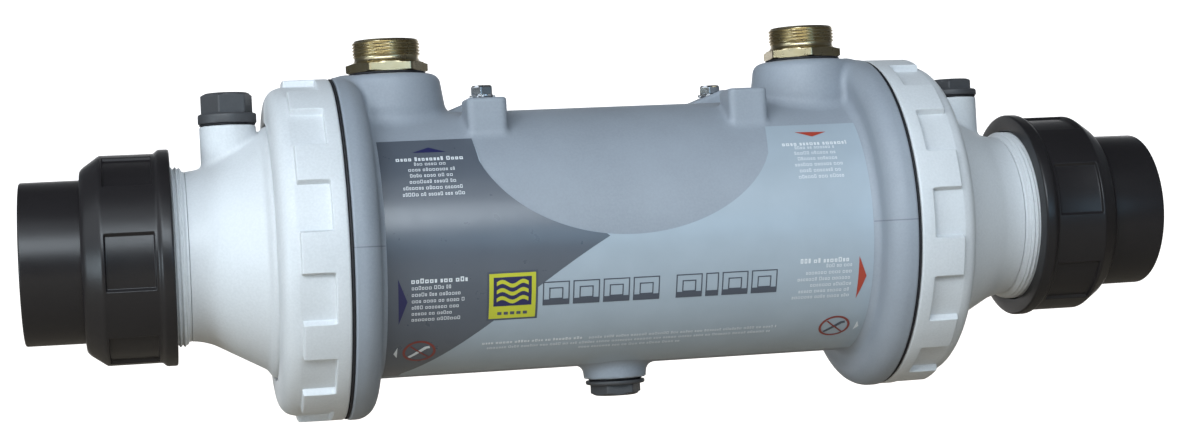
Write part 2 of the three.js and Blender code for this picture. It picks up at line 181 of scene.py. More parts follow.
def grey_shell():
    """The shell's plastic, with the line that the mould halves leave on its lips."""
    material = moulded("grey_shell_plastic", (0.315, 0.345, 0.390), 0.52, grain=0.5, mottle=0.05)
    tree = material.node_tree
    shader = tree.nodes["Principled BSDF"]
    where = node(tree, "ShaderNodeSeparateXYZ", Vector=at_rest(tree)).outputs
    line = spread(tree, maths(tree, "ABSOLUTE", where["Z"]), 0.55, 0.0, 0.0001, 0.0004)
    lips = spread(tree, maths(tree, "ABSOLUTE", where["X"]), 0.0, 1.0, 0.1168, 0.1172)
    tone = shader.inputs["Base Color"].links[0].from_socket
    seam = blend(tree, maths(tree, "MULTIPLY", line, lips), tone, (0.09, 0.095, 0.11, 1.0))
    feed(tree, shader, Base_Color=seam)
    return material


def film(name, colour, roughness=0.36, coat=0.25):
    """Printed film: even ink under a satin skin with the faintest ripple."""
    material, tree, shader = new_material(name)
    ink = spread(tree, noise(tree, 45.0), 0.0, 1.0)
    tone = blend(tree, ink, shade(colour, 0.96), shade(colour, 1.04))
    satin = spread(tree, noise(tree, 160.0), roughness - 0.03, roughness + 0.05)
    feed(tree, shader, Base_Color=tone, Roughness=satin, Coat_Weight=coat, Coat_Roughness=0.25)
    ripple = noise(tree, 60.0, detail=1.0)
    fine = noise(tree, 1500.0, detail=1.0)
    bumps(tree, shader, [(ripple, 0.0003, 0.12), (fine, 0.00006, 0.25)])
    return material


def metal(name, colour, tarnish, roughness, rings):
    """Turned metal: fine tool rings, uneven tone and smears of tarnish."""
    material, tree, shader = new_material(name)
    stains = spread(tree, noise(tree, 130.0, detail=2.0), 0.0, 1.0, 0.35, 0.75)
    tone = blend(tree, stains, shade(colour, 1.0), shade(tarnish, 1.0))
    rough = spread(tree, noise(tree, 260.0, detail=4.0), roughness, roughness + 0.06)
    feed(tree, shader, Metallic=1.0, Base_Color=tone, Roughness=rough)
    bands = {"wave_type": "BANDS", "bands_direction": "Z"}
    place = at_rest(tree)
    wave = node(tree, "ShaderNodeTexWave", bands, Vector=place, Scale=rings, Distortion=1.5)
    pits = noise(tree, 1800.0, detail=2.0)
    bumps(tree, shader, [(wave.outputs["Fac"], 0.00002, 0.04), (pits, 0.00004, 0.03)])
    return material


def rubber(name, colour):
    material, tree, shader = new_material(name)
    bloom = spread(tree, noise(tree, 300.0), 0.0, 1.0)
    tone = blend(tree, bloom, shade(colour, 0.85), shade(colour, 1.3))
    feed(tree, shader, Base_Color=tone, Roughness=spread(tree, noise(tree, 500.0), 0.6, 0.8))
    bumps(tree, shader, [(noise(tree, 1500.0), 0.0001, 0.4)])
    return material


def stage_paint(name, floor, wall, glow):
    """Matt paint that glows low down behind the object, as a lit backdrop does."""
    material, tree, shader = new_material(name)
    place = node(tree, "ShaderNodeSeparateXYZ", Vector=at_rest(tree)).outputs
    height = spread(tree, place["Z"], 0.0, 1.0, -0.4, 0.25)
    tone = blend(tree, height, shade(floor, 1.0), shade(wall, 1.0))
    glowing = spread(tree, place["Y"], 0.0, glow, 1.8, 2.6)
    limits = (("Z", 1.0, 0.1, 1.1, 2.1), ("X", 0.0, 1.0, -1.4, -0.8), ("X", 1.0, 0.0, 2.6, 3.2))
    for axis, *fade in limits:
        glowing = maths(tree, "MULTIPLY", glowing, spread(tree, place[axis], *fade))
    feed(tree, shader, Base_Color=tone, Roughness=0.95, Specular_IOR_Level=0.0)
    feed(tree, shader, Emission_Color=(0.62, 0.62, 0.62, 1.0), Emission_Strength=glowing)
    return material


MATERIALS = {
    "grey_shell": grey_shell(),
    "printed_label": film("label_light_film", (0.385, 0.445, 0.500)),
    "white_cap": moulded("white_cap_plastic", (0.695, 0.712, 0.730), 0.42, grain=0.25, mottle=0.02),
    "dark_pvc": moulded("dark_pvc", (0.017, 0.015, 0.016), 0.30, 0.15, 0.10, patchy=0.02, gloss=0.38),
    "grey_plug": moulded("grey_plug_plastic", (0.060, 0.060, 0.064), 0.48, grain=0.45, mottle=0.08),
    "black_rubber": rubber("black_rubber", (0.012, 0.011, 0.014)),
    "brass": metal("turned_brass", (0.510, 0.435, 0.280), (0.440, 0.360, 0.210), 0.26, 500.0),
    "chrome": metal("plated_steel", (0.720, 0.730, 0.750), (0.560, 0.570, 0.590), 0.14, 400.0),
    "steel": metal("stainless_steel", (0.520, 0.525, 0.540), (0.400, 0.400, 0.410), 0.30, 300.0),
    "tube_steel": metal("drawn_tube", (0.500, 0.500, 0.510), (0.380, 0.380, 0.390), 0.28, 120.0),
}
INKS = {
    "light": MATERIALS["printed_label"],
    "dark": film("label_dark_ink", (0.100, 0.114, 0.140), 0.30, 0.5),
    "white": film("label_white_ink", (0.780, 0.800, 0.820)),
    "line": film("label_line_ink", (0.075, 0.085, 0.110)),
    "navy": film("label_navy_ink", (0.020, 0.020, 0.090)),
    "red": film("label_red_ink", (0.430, 0.055, 0.030)),
    "brown": film("label_ring_ink", (0.260, 0.045, 0.035)),
    "yellow": film("label_yellow_ink", (0.560, 0.560, 0.040)),
    "sky": film("label_sky_ink", (0.100, 0.260, 0.480)),
}


# ---- mesh making


def make_piece(name, points, faces, stands_for, material=None, crease=34.0):
    """A closed mesh that rides as the CAD node it stands for, in its slot's material unless given one."""
    mesh = bpy.data.meshes.new(name)
    mesh.from_pydata([Vector(point) * MM for point in points], [], faces)
    work = bmesh.new()
    work.from_mesh(mesh)
    bmesh.ops.recalc_face_normals(work, faces=work.faces)
    work.to_mesh(mesh)
    work.free()
    mesh.shade_smooth()
    mesh.set_sharp_from_angle(angle=math.radians(crease))
    slot = SLOT_OF[stands_for]
    mesh.materials.append(material or MATERIALS[slot])
    piece = bpy.data.objects.new(name, mesh)
    bpy.context.scene.collection.objects.link(piece)
    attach(piece, BODY_OF[stands_for])
    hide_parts(stands_for)
    return piece


def about_x(side):
    """Places (along, radius, angle) round the main axis, outwards on one side."""

    def place(along, radius, angle):
        turn = math.radians(angle)
        return (side * along, -radius * math.cos(turn), radius * math.sin(turn))

    return place


def about_z(x, y, z, up=1):
    """Places (along, radius, angle) round an upright axis, up or down from a point."""

    def place(along, radius, angle):
        turn = math.radians(angle)
        return (x + radius * math.cos(turn), y + radius * math.sin(turn), z + up * along)

    return place


def all_round(steps):
    return [360.0 * step / steps for step in range(steps)]


def angles_near(edges, flank, coarse=3.0):
    """Angles all the way round, with extra ones where the section steps."""
    steps = (-0.6, -0.5, -0.42, -0.3, -0.15, 0.15, 0.3, 0.42, 0.5, 0.6)
    dense = [(edge + flank * step) % 360 for edge in edges for step in steps]
    for angle in all_round(int(360 / coarse)):
        if all(abs((angle - other + 180) % 360 - 180) > coarse / 3 for other in dense):
            dense.append(angle)
    return sorted(dense)


def softened(corners, steps=4):
    """An outline with rounded corners. A corner is (along, radius, cut)."""
    points = []
    for index, (along, radius, cut) in enumerate(corners):
        corner = Vector((along, radius))
        if cut == 0:
            points.append((along, radius))
            continue
        before = Vector(corners[index - 1][:2]) - corner
        after = Vector(corners[(index + 1) % len(corners)][:2]) - corner
        start = corner + before.normalized() * min(cut, before.length * 0.49)
        end = corner + after.normalized() * min(cut, after.length * 0.49)
        for step in range(steps + 1):
            share = step / steps
            bend = start * (1 - share) ** 2 + corner * 2 * share * (1 - share) + end * share**2
            points.append(tuple(bend))
    return points


def revolved(outline_at, angles, place):
    """Points and quads of a solid of revolution whose outline may vary with angle."""
    rows = [[place(*point, angle) for point in outline_at(angle)] for angle in angles]
    if outline_at(angles[0])[0][1] > 0:
        return ring_body(rows)
    return poled_body(rows)


def ring_body(rows):
    count = len(rows[0])
    faces = []
    for row in range(len(rows)):
        here, there = row * count, (row + 1) % len(rows) * count
        for index in range(count):
            after = (index + 1) % count
            faces.append((here + index, here + after, there + after, there + index))
    return [point for row in rows for point in row], faces


def poled_body(rows):
    """As ring_body, for outlines that start and end on the axis."""
    count = len(rows[0]) - 2
    points = [rows[0][0], rows[0][-1]] + [point for row in rows for point in row[1:-1]]
    faces = []
    for row in range(len(rows)):
        here, there = 2 + row * count, 2 + (row + 1) % len(rows) * count
        faces.append((0, there, here))
        faces.append((1, here + count - 1, there + count - 1))
        for index in range(count - 1):
            faces.append((here + index, here + index + 1, there + index + 1, there + index))
    return points, faces


def turned(name, stands_for, place, outline, shape=None, angles=None, material=None):
    """A turned piece. shape(along, radius, angle) may change the radius."""
    angles = angles or all_round(96)

    def outline_at(angle):
        if shape is None:
            return outline
        return [(along, shape(along, radius, angle)) for along, radius in outline]

    points, faces = revolved(outline_at, angles, place)
    return make_piece(name, points, faces, stands_for, material)


def ramp(value, start, end):
    """Rises smoothly from 0 at start to 1 at end."""
    share = min(1.0, max(0.0, (value - start) / (end - start)))
    return share * share * (3 - 2 * share)


def in_panel(angle, first, count, width, flank):
    """1 within evenly spaced panels, 0 between them, with narrow sloped flanks."""
    pitch = 360.0 / count
    off = abs((angle - first - width / 2 + pitch / 2) % pitch - pitch / 2)
    return 1.0 - ramp(off, (width - flank) / 2, (width + flank) / 2)


def panelled(side_name, part, plain, panel, spacing, coarse=3.0):
    """A nut whose outline changes within evenly spaced panels. Spacing is as in in_panel."""
    first, count, width, flank = spacing
    edges = [first + 360.0 / count * index + edge for index in range(count) for edge in (0, width)]

    def outline_at(angle):
        share = in_panel(angle, *spacing)
        return [tuple(p + (q - p) * share for p, q in zip(*pair)) for pair in zip(plain, panel)]

    points, faces = revolved(outline_at, angles_near(edges, flank, coarse), about_x(SIDES[side_name]))
    make_piece(f"{side_name}_{part}_piece", points, faces, f"{side_name}_{part}")


HEX_CORNER = 1.143  # a hexagon's corners, just taken off, over its half flats


def hexagon_radius(angle, flats, corner_angle):
    """How far a hexagon reaches at an angle."""
    off = (angle - corner_angle) % 60 - 30
    return min(flats / 2 / math.cos(math.radians(off)), flats / 2 * HEX_CORNER)


def hexagon_angles(corner_angle, between=6):
    """Angles that hit every corner bevel and some between."""
    inside = [6.0 + 48.0 * step / between for step in range(between + 1)]
    inside = [1.2, 2.6] + inside + [57.4, 58.8]
    return sorted((corner_angle + 60 * side + step) % 360 for side in range(6) for step in inside)


def thread_line(start, end, pitch, radius, per_turn=8):
    """Evenly spaced outline points (along, radius) for a thread to be cut into."""
    count = max(2, round((end - start) / pitch * per_turn))
    return [(start + (end - start) * step / count, radius) for step in range(count + 1)]


def threaded(start, end, pitch, depth, hand, fade=1.0):
    """A radius change that cuts a screw thread between two places."""

    def cut(along, radius, angle):
        if not start <= along <= end:
            return radius
        phase = (along / pitch + hand * angle / 360.0) % 1.0
        valley = 0.5 - 0.5 * math.cos(2 * math.pi * phase)
        ends = ramp(along, start, start + fade) * ramp(end - along, 0.0, fade)
        return radius - depth * (1 - ends * (1 - valley))

    return cut


# ---- smooth solids from a field


def both(first, second, edge):
    """Where two solids overlap, with the edge between them rounded."""
    u, v = first + edge, second + edge
    return np.hypot(np.maximum(u, 0), np.maximum(v, 0)) + np.minimum(np.maximum(u, v), 0) - edge


def either(first, second, fillet):
    """Two solids joined, with a fillet of that radius between them."""
    return -both(-first, -second, fillet)


def crossings(value, cells):
    """The mean point where each cell's edges cross the surface, in grid steps."""
    total, count = np.zeros((len(cells), 3)), np.zeros(len(cells))
    for axis in range(3):
        unit = np.eye(3, dtype=int)[axis]
        for first in (0, 1):
            for second in (0, 1):
                corner = np.insert([first, second], axis, 0)
                low = value[tuple((cells + corner).T)]
                high = value[tuple((cells + corner + unit).T)]
                hit = (low < 0) != (high < 0)
                share = low[hit] / (low[hit] - high[hit])
                total[hit] += (cells + corner)[hit] + share[:, None] * unit
                count[hit] += 1
    return total / count[:, None]


def onto_surface(field, points, limit=0.5):
    """Slides points along the field's slope until they lie on its surface."""
    for _ in range(5):
        value = field(*points.T)
        slope = np.empty_like(points)
        for axis in range(3):
            step = np.zeros(3)
            step[axis] = 0.02
            slope[:, axis] = (field(*(points + step).T) - field(*(points - step).T)) / 0.04
        square = np.maximum((slope**2).sum(1), 1e-6)
        move = (value / square)[:, None] * slope
        length = np.maximum(np.linalg.norm(move, axis=1), 1e-9)
        points = points - move * np.minimum(1, limit / length)[:, None]
    return points


def skin(field, xs, angles, radii):
    """Points and quads of a field's surface, on a grid wrapped round the X axis."""
    turns = np.radians(np.append(angles, angles[0] + 360.0))
    x, turn, radius = np.meshgrid(xs, turns, radii, indexing="ij")
    value = field(x, -radius * np.cos(turn), radius * np.sin(turn))
    inside = value < 0
    shape = tuple(size - 1 for size in value.shape)
    filled = sum(
        inside[i : i + shape[0], j : j + shape[1], k : k + shape[2]].astype(int)
        for i in (0, 1)
        for j in (0, 1)
        for k in (0, 1)
    )
    active = (filled > 0) & (filled < 8)
    number = np.full(shape, -1)
    number[active] = np.arange(active.sum())
    steps = crossings(value, np.argwhere(active))
    px = np.interp(steps[:, 0], np.arange(len(xs)), xs)
    pt = np.interp(steps[:, 1], np.arange(len(turns)), turns)
    pr = np.interp(steps[:, 2], np.arange(len(radii)), radii)
    points = np.column_stack([px, -pr * np.cos(pt), pr * np.sin(pt)])
    return onto_surface(field, points), quads_of(inside[:, :-1], number)


def quads_of(inside, number):
    """One quad for each grid edge that crosses the surface."""
    quads = []
    for axis in range(3):
        ahead = np.roll(inside, -1, axis)
        hits = np.argwhere(inside != ahead)
        if axis != 1:
            hits = hits[hits[:, axis] < inside.shape[axis] - 1]
        first, second = [other for other in range(3) if other != axis]
        ring = []
        for back in ((1, 1), (0, 1), (0, 0), (1, 0)):
            cell = hits.copy()
            cell[:, first] -= back[0]
            cell[:, second] -= back[1]
            cell[:, 1] %= number.shape[1]
            ring.append(number[tuple(cell.T)])
        quads.append(np.column_stack(ring))
    return np.concatenate(quads).tolist()


def steps_between(*stops):
    """A rising list of numbers through (start, step), ..., (end, None)."""
    values = []
    for (start, step), (end, _) in zip(stops, stops[1:]):
        count = max(1, round((end - start) / step))
        values.extend(start + (end - start) * index / count for index in range(count))
    values.append(stops[-1][0])
    return np.array(values)


# ---- the shell

BARREL = 63.6
BORE = 58.0
LIP = Sizes(face=133.0, radius=82.4, root=119.8, shoulder=9.5, fillet=4.5)
WATER_BOSS = Sizes(radius=27.2, taper=0.146, taper_from=66.0, top_edge=4.2, fillet=4.0)
WATER_BORE = Sizes(thread=16.5, throat=13.0, step=66.0)
FIXING_BOSS = Sizes(y=28.0, half=8.9, corner=3.0, top=68.0, fillet=2.4)
FRONT_BOSS = Sizes(half=9.6, face=39.8, foot=44.0)
FIXING_X = {"front": (-63.1, 64.9), "rear": (-63.5, 63.5)}
FIXING_WEDGE = Sizes(left=15.0, right=8.9, slope=0.38, lift=1.9, level_from=4.0, pad=6.1, relief=7.2)
DRAIN_BOSS = Sizes(radius=15.3, end=70.3, taper=0.12, fillet=3.5, bore=10.4)


def barrel_and_lips(x, radius):
    """The barrel with a rounded lip at each end, still solid: shell_field bores it through."""
    out = np.abs(x)
    lip = both(LIP.root - out, radius - LIP.radius, LIP.shoulder)
    barrel = either(radius - BARREL, lip, LIP.fillet)
    return both(barrel, out - LIP.face, 0.9)


def water_boss(x, y, z, centre):
    radius = WATER_BOSS.radius - WATER_BOSS.taper * np.maximum(z - WATER_BOSS.taper_from, 0)
    side = np.hypot(x - centre, y) - radius
    top = span("shell_body", 2)[1]
    return np.maximum(both(side, z - top, WATER_BOSS.top_edge), 50.0 - z)


def rounded_block(x, y, half_x, half_y, corner):
    """Distance from the sides of an upright block with rounded corners."""
    return both(np.abs(x) - half_x, np.abs(y) - half_y, corner)


def front_boss(x, y, z, centre):
    """A square boss with a flat top."""
    face, back = FRONT_BOSS.face, FIXING_BOSS.y - FIXING_BOSS.half
    middle_y, half_y = -(face + back) / 2, (face - back) / 2
    half, corner = FRONT_BOSS.half, FIXING_BOSS.corner
    column = rounded_block(x - centre, y - middle_y, half, half_y, corner)
    return np.maximum(both(column, z - FIXING_BOSS.top, 1.6), FRONT_BOSS.foot - z)


def rear_boss(x, y, z, centre):
    """A wedge that runs down to the left, with a level pad for a bolt on the right one."""
    half, corner, top = FIXING_BOSS.half, FIXING_BOSS.corner, FIXING_BOSS.top
    left, right, slope = FIXING_WEDGE.left, FIXING_WEDGE.right, FIXING_WEDGE.slope
    across, beside = x - centre, y - FIXING_BOSS.y
    column = rounded_block(across + (left - right) / 2, beside, (left + right) / 2, half, corner)
    rise = FIXING_WEDGE.lift + slope * np.minimum(across, FIXING_WEDGE.level_from)
    roof = (z - top - rise) / math.hypot(1, slope)
    wedge = both(column, roof, 1.6)
    if centre > 0:
        around = np.hypot(across, beside)
        wedge = np.maximum(wedge, -np.maximum(around - FIXING_WEDGE.relief, top - z))
        wedge = np.minimum(wedge, np.maximum(around - FIXING_WEDGE.pad, z - top))
    return np.maximum(wedge, 50.0 - z)


def drain_boss(x, y, z):
    down = -z
    radius = DRAIN_BOSS.radius + DRAIN_BOSS.taper * np.maximum(DRAIN_BOSS.end - down, 0)
    side = np.hypot(x, y) - radius
    return np.maximum(both(side, down - DRAIN_BOSS.end, 0.6), 50.0 - down)


def shell_field(x, y, z):
    """Distance-like field of the whole shell moulding, negative inside."""
    radius = np.hypot(y, z)
    solid = barrel_and_lips(x, radius)
    boss_x = middle("boiler_inlet_adaptor", 0)
    for index, side in enumerate((-1, 1)):
        for row, boss in (("front", front_boss), ("rear", rear_boss)):
            solid = either(solid, boss(x, y, z, FIXING_X[row][index]), FIXING_BOSS.fillet)
        solid = either(solid, water_boss(x, y, z, side * boss_x), WATER_BOSS.fillet)
    solid = either(solid, drain_boss(x, y, z), DRAIN_BOSS.fillet)
    solid = np.maximum(solid, np.abs(x) - LIP.face)
    holes = BORE - radius
    for side in (-1, 1):
        from_axis = np.hypot(x - side * boss_x, y)
        thread = np.maximum(from_axis - WATER_BORE.thread, WATER_BORE.step - z)
        throat = np.maximum(from_axis - WATER_BORE.throat, 20.0 - z)
        holes = np.maximum(holes, -np.minimum(thread, throat))
        bolt = np.hypot(x - side * FIXING_X["rear"][1], y - side * FIXING_BOSS.y) - 3.3
        holes = np.maximum(holes, -np.maximum(bolt, FIXING_BOSS.top - 10.0 - z))
    drain = np.maximum(np.hypot(x, y) - DRAIN_BOSS.bore, 20.0 + z)
    return np.maximum(both(solid, holes, 0.6), -drain)


def shell_moulding():
    xs = steps_between((-134.2, 0.7), (-114, 1.2), (114, 0.7), (134.2, None))
    angles = steps_between((-75, 3.0), (45, 1.1), (135, 3.0), (255, 1.3), (285, None))[:-1]
    points, faces = skin(shell_field, xs, angles, np.arange(56.5, 87.5, 1.0))
    make_piece("shell_moulding", points, faces, "shell_body", crease=50.0)


def spigot(side_name):
    """The threaded end of the shell, which the ring nut screws onto."""
    end = outward("shell_body")[1]
    face, ledge, mouth = LIP.face - 0.5, end - 5.0, 70.0
    outer = thread_line(face + 2.5, end - 1.5, 6.0, 75.0, 14)
    outline = [(ledge, mouth), (ledge, BORE), (face, BORE), (face, 74.0)]
    outline += outer + [(end, 73.5), (end, mouth + 0.6), (end - 0.6, mouth)]
    cut = threaded(face + 2.5, end - 1.5, 6.0, 1.9, SIDES[side_name])
    place = about_x(SIDES[side_name])
    turned(f"{side_name}_spigot", "shell_body", place, outline, cut, all_round(120))


# ---- fittings on the shell

BRASS = Sizes(thread=16.1, bore=12.8, flats=35.0, pitch=1.6)


def adaptor(name, corner_angle):
    """A brass adaptor: thread below, hexagon, cone and thread above, bored through."""
    foot, top = span(f"{name}_adaptor", 2)
    x, y = middle(f"{name}_adaptor", 0), middle(f"{name}_adaptor", 1)
    hex_base, hex_top, neck = 84.2, 88.6, 91.2
    thread, bore, flats = BRASS.thread, BRASS.bore, BRASS.flats
    corner, crest = flats / 2 * HEX_CORNER, thread + 0.3
    lower = thread_line(foot + 0.8, hex_base - 0.8, BRASS.pitch, thread)
    upper = thread_line(neck + 0.5, top - 0.6, BRASS.pitch, crest, 10)
    outline = [(foot, bore + 0.5), (foot, thread - 1.3)] + lower + [(hex_base, thread)]
    outline += [(hex_base, corner - 1.2), (hex_base + 0.4, corner), (hex_base + 0.6, corner)]
    outline += [(hex_top - 0.8, corner), (hex_top - 0.6, corner)]
    flare = neck - hex_top
    for step in range(9):
        turn = math.radians(90 * step / 8)
        reach = (flats / 2 - thread + 1.0) * (1 - math.sin(turn))
        outline.append((neck - flare * math.cos(turn), thread - 0.6 + reach))
    outline += upper
    outline += [(top, thread - 0.8), (top, bore + 0.9), (top - 0.8, bore), (foot + 0.5, bore)]
    cut_lower = threaded(foot + 0.8, hex_base - 0.8, BRASS.pitch, 0.9, -1)
    cut_upper = threaded(neck + 0.5, top - 0.6, BRASS.pitch, 0.75, -1, fade=0.6)

    def shape(along, radius, angle):
        if hex_base <= along <= hex_top and radius > thread:
            return min(radius, hexagon_radius(angle, flats, corner_angle))
        if radius < thread - 0.3:
            return radius
        return cut_upper(along, cut_lower(along, radius, angle), angle)

    place = about_z(x, y, 0.0)
    angles = hexagon_angles(corner_angle, 9)
    turned(f"{name}_fitting", f"{name}_adaptor", place, outline, shape, angles)


def flat_seal(name, stands_for, place, inner, outer, thickness, edge=0.3):
    """A flat ring with rounded edges, from its lower face up."""
    corners = [(0, inner, 0), (0, outer, edge), (thickness, outer, edge), (thickness, inner, 0)]
    turned(name, stands_for, place, softened(corners, 3))


def bolt_and_washer(name):
    """A small hexagon bolt on a toothed lock washer."""
    bolt, washer = f"fixing_bolt_{name}", f"lock_washer_{name}"
    x, y = middle(bolt, 0), middle(bolt, 1)
    tip, top = span(bolt, 2)
    seat, _ = span(washer, 2)
    base, flats, turn = seat + 1.4, 10.0, 15.0
    outline = [(tip, 0), (tip, 2.2), (tip + 0.8, 3.0), (base, 3.0), (base, 5.4), (base + 0.3, 5.72)]
    outline += [(base + 0.5, 5.72), (top - 1.1, 5.72), (top - 0.9, 5.72), (top, 4.7)]
    outline += [(top, 3.2), (top - 0.25, 2.6), (top - 0.25, 0)]

    def head(along, radius, angle):
        if along < base or radius <= 3.0:
            return radius
        return min(radius, hexagon_radius(angle, flats, turn))

    turned(f"{bolt}_piece", bolt, about_z(x, y, 0.0), outline, head, hexagon_angles(turn))
    teeth, inner, rim, reach = 12, 3.3, 4.9, 6.2

    def tooth(along, radius, angle):
        return rim + (reach - rim) * in_panel(angle, 0, teeth, 18, 5) if radius > rim else radius

    def twisted(along, radius, angle):
        lift = 0.45 * ramp(radius, rim, reach) * math.sin(math.radians(angle * teeth))
        return about_z(x, y, seat)(along + lift, radius, angle)

    ring = [(0.15, inner), (0.15, rim), (0.25, reach), (0.95, reach), (1.05, rim), (1.05, inner)]
    turned(f"{washer}_piece", washer, twisted, ring, tooth, all_round(144))


def plug(stands_for, size, corner_angle, up):
    """A screw plug: threaded shank, round flange and a chamfered hexagon."""
    x, y = middle(stands_for, 0), middle(stands_for, 1)
    base = span(stands_for, 2)[0] + up * size.length
    shank, flange, thick = size.shank, size.flange, size.thick
    flats, top = size.flats, size.thick + size.hex
    corner = flats / 2 * HEX_CORNER
    thread = thread_line(0.8 - size.length, -1.0, 2.0, shank, 10)
    outline = [(-size.length, 0), (-size.length, shank - 1.2)] + thread + [(0, shank - 0.8)]
    rim = [(0, flange, 0.5), (thick, flange, 1.3)]
    outline += softened([(0, shank, 0)] + rim + [(thick, shank, 0)], 4)[1:-1]
    outline += [(thick, corner - 0.2), (thick + 0.3, corner), (thick + 0.5, corner)]
    outline += [(top - 1.6, corner), (top - 1.3, corner)]
    outline += [(top - 0.5, flats / 2 + 0.1), (top, flats / 2 - 1.0), (top, 4.0), (top - 0.3, 0)]
    cut = threaded(0.8 - size.length, -1.0, 2.0, 1.1, -up)

    def shape(along, radius, angle):
        if along < 0:
            return cut(along, radius, angle) if radius > 0 else radius
        if along > thick - 0.001 and shank < radius <= corner:
            return min(radius, hexagon_radius(angle, flats, corner_angle))
        return radius

    place = about_z(x, y, base, up)
    angles = hexagon_angles(up * corner_angle, 9)
    turned(f"{stands_for}_piece", stands_for, place, outline, shape, angles)


# ---- pieces of each end

RING_NUT = Sizes(
    rim=82.0, base=78.7, blocks=12, width=13.6, flank=0.9, first={"left": -1.0, "right": 16.7},
)
CAP = Sizes(flange=74.5, shoulder=60.0, cone=54.9, cone_from=171.5, slope=0.547, neck=40.4, split=204.4)
CAVITY = ((154.0, 66.0), (161.0, 54.5), (169.0, 50.0), (196.0, 34.5), (202.0, 32.5))
NECK_THREAD = Sizes(start=205.5, radius=42.8, bore=32.5, pitch=2.0)
VENT_BOSS = Sizes(radius=13.35, bore=9.6, fillet=2.2)
UNION_NUT = Sizes(
    rim=51.4, body=49.6, nose=43.2, panels=6, sunk=1.5, flank=1.7, first={"left": 43.4, "right": -1.5},
)
TAIL = Sizes(collar=42.6, radius=38.5, bore=29.5, socket=31.6, socket_depth=38.0)


def ring_nut(side_name):
    """The big white ring nut, with grip blocks flush with its smooth rim."""
    start, end = outward(f"{side_name}_ring_nut")
    rim, base = RING_NUT.rim, RING_NUT.base
    inside = [(end, 61.6, 0.8), (end - 5.0, 61.6, 0), (end - 5.0, 75.4, 0), (start, 75.4, 0.6)]
    entry = [(start, rim, 1.4)]
    shoulder = [(157.6, base, 2.4), (162.0, 77.4, 3.0), (165.0, 73.6, 2.4), (end, 69.0, 1.2)]
    sunk = [(141.5, rim, 0.7), (141.6, base, 0.7), (156.2, base, 0.6), (156.6, base - 0.05, 0.2)]
    flush = [(141.5, rim, 0.7), (146.0, rim, 0.7), (156.3, rim - 0.1, 0.9), (156.6, base, 0.2)]
    between = softened(entry + sunk + shoulder + inside)
    on_block = softened(entry + flush + shoulder + inside)
    width = RING_NUT.width
    first = RING_NUT.first[side_name] - width / 2
    spacing = (first, RING_NUT.blocks, width, RING_NUT.flank)
    panelled(side_name, "ring_nut", between, on_block, spacing, 2.5)


def cavity_field(x, radius):
    """The hollow of the cap: straight tapers between its stations."""
    stations = np.array(CAVITY)
    return radius - np.interp(x, stations[:, 0], stations[:, 1])


def cap_field(x, y, z):
    """The cap from its flange to the start of the neck, along +X."""
    radius = np.hypot(y, z)
    start, _ = span("right_end_cap")
    vent_x = middle("right_vent_plug", 0)
    vent_top = span("right_vent_seal", 2)[0] - 0.3
    flange = both(radius - CAP.flange, x - start - 6.0, 0.8)
    shoulder = both(radius - CAP.shoulder, x - 167.6, 2.6)
    lean = math.cos(math.atan(CAP.slope))
    cone = (radius - CAP.cone + CAP.slope * (x - CAP.cone_from)) * lean
    neck = radius - CAP.neck
    solid = either(either(cone, neck, 3.0), shoulder, 3.0)
    boss = both(np.hypot(x - vent_x, y) - VENT_BOSS.radius, z - vent_top, 0.7)
    boss = np.maximum(boss, 30.0 - z)
    solid = either(solid, boss, VENT_BOSS.fillet)
    solid = either(solid, flange, 1.0)
    hollow = -cavity_field(x, radius)
    vent = np.maximum(np.hypot(x - vent_x, y) - VENT_BOSS.bore, 20.0 - z)
    groove = np.maximum(np.abs(radius - 72.4) - 1.5, x - start - 2.2)
    solid = np.maximum(np.maximum(solid, hollow), -np.minimum(vent, groove))
    return np.maximum(np.maximum(solid, start - x), x - CAP.split)


def cap_mouldings():
    """Both caps: the left one is the right one turned half round."""
    start, _ = span("right_end_cap")
    xs = steps_between((start - 1.1, 0.55), (start + 14, 0.9), (CAP.split + 1.0, None))
    angles = steps_between((-240, 2.5), (60, 1.4), (120, None))[:-1]
    points, faces = skin(cap_field, xs, angles, np.arange(31.0, 77.0, 0.9))
    for side_name, side in SIDES.items():
        own = points * np.array([side, side, 1.0])
        node_name = f"{side_name}_end_cap"
        make_piece(f"{side_name}_cap_moulding", own, faces, node_name, crease=48.0)


def cap_neck(side_name):
    """The neck of the cap, with the fine thread of the union."""
    end = outward(f"{side_name}_end_cap")[1]
    split, start = CAP.split, NECK_THREAD.start
    top, bore = NECK_THREAD.radius, NECK_THREAD.bore
    pitch = NECK_THREAD.pitch
    thread = thread_line(start + 0.6, end - 1.0, pitch, top)
    outline = [(split, bore), (split, CAP.neck), (start - 0.3, CAP.neck)]
    outline += [(start, CAP.neck + 0.3), (start + 0.4, top - 1.3)] + thread
    outline += [(end - 0.3, top - 1.4), (end, top - 1.8), (end, 38.6), (end - 1.9, 38.6)]
    outline += [(end - 1.9, 35.4), (end, 35.4), (end, bore + 0.5), (end - 0.5, bore)]
    cut = threaded(start + 0.6, end - 1.0, pitch, 1.0, SIDES[side_name])

    def shape(along, radius, angle):
        return cut(along, radius, angle) if radius >= top - 0.01 else radius

    place = about_x(SIDES[side_name])
    turned(f"{side_name}_cap_neck", f"{side_name}_end_cap", place, outline, shape, all_round(120))


